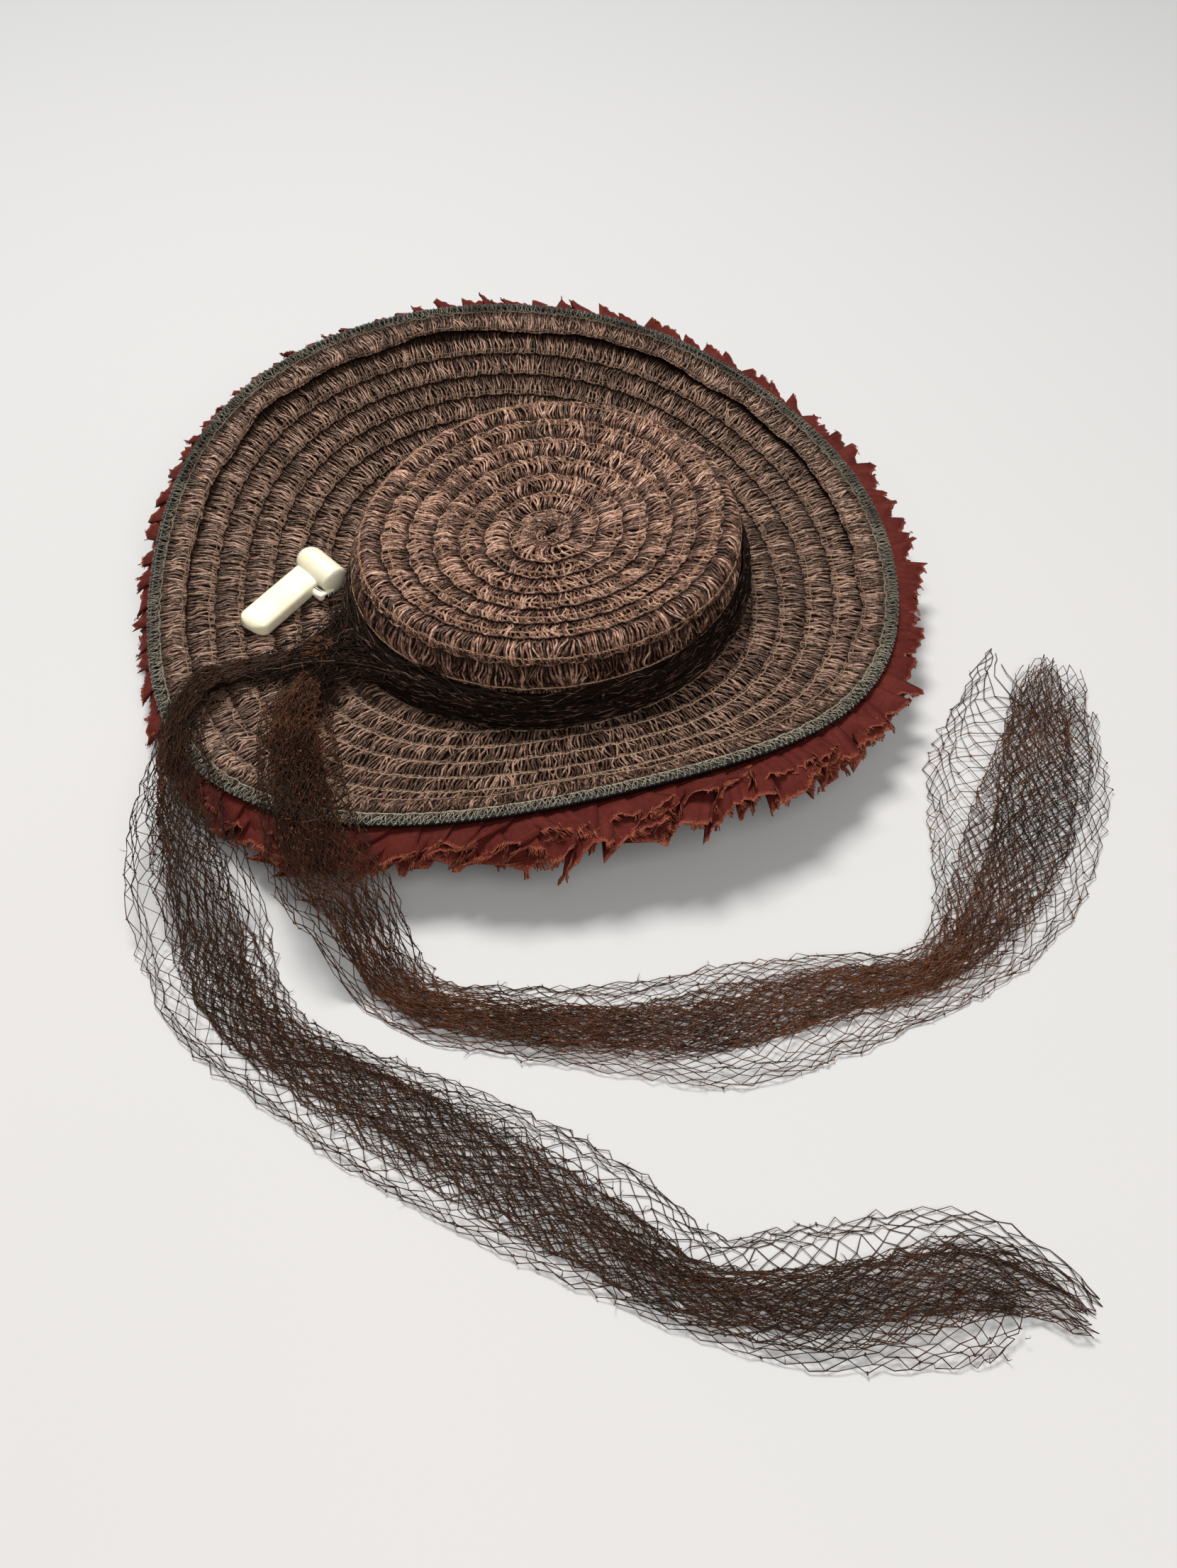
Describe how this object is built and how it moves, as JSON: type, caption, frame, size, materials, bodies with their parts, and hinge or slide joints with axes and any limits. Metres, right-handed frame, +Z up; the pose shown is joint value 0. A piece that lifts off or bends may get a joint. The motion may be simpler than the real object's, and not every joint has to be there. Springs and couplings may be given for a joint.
{
  "type": "tilt hat",
  "caption": "Shallow straw braid tilt hat with an upturned brim, a pleated ribbon frill, a gathered net veil with loose ends, and a moulded ornament.",
  "frame": {"origin": "middle of the whole part's base, on the surface that the hat and the veil's ends lie on", "axes": "+Z up out of the crown, -Y towards the side where the veil's ends lie, +X towards the right seen from there"},
  "size_m": [0.3776, 0.4838, 0.0391],
  "materials": {
    "straw": "glossy braided straw",
    "edge_cord": "satin covered wire",
    "ribbon": "matt ribbed ribbon",
    "veil_net": "knotted net",
    "moulding": "polished"
  },
  "bodies": {
    "root": {"crown": "straw", "brim": "straw", "brim_edge_band": "straw", "edge_wire": "edge_cord", "ribbon_ruffle": "ribbon", "veil_band": "veil_net", "veil_knot": "veil_net", "veil_tail_inner": "veil_net", "veil_tail_outer": "veil_net", "ornament": "moulding"}
  },
  "joints": []
}
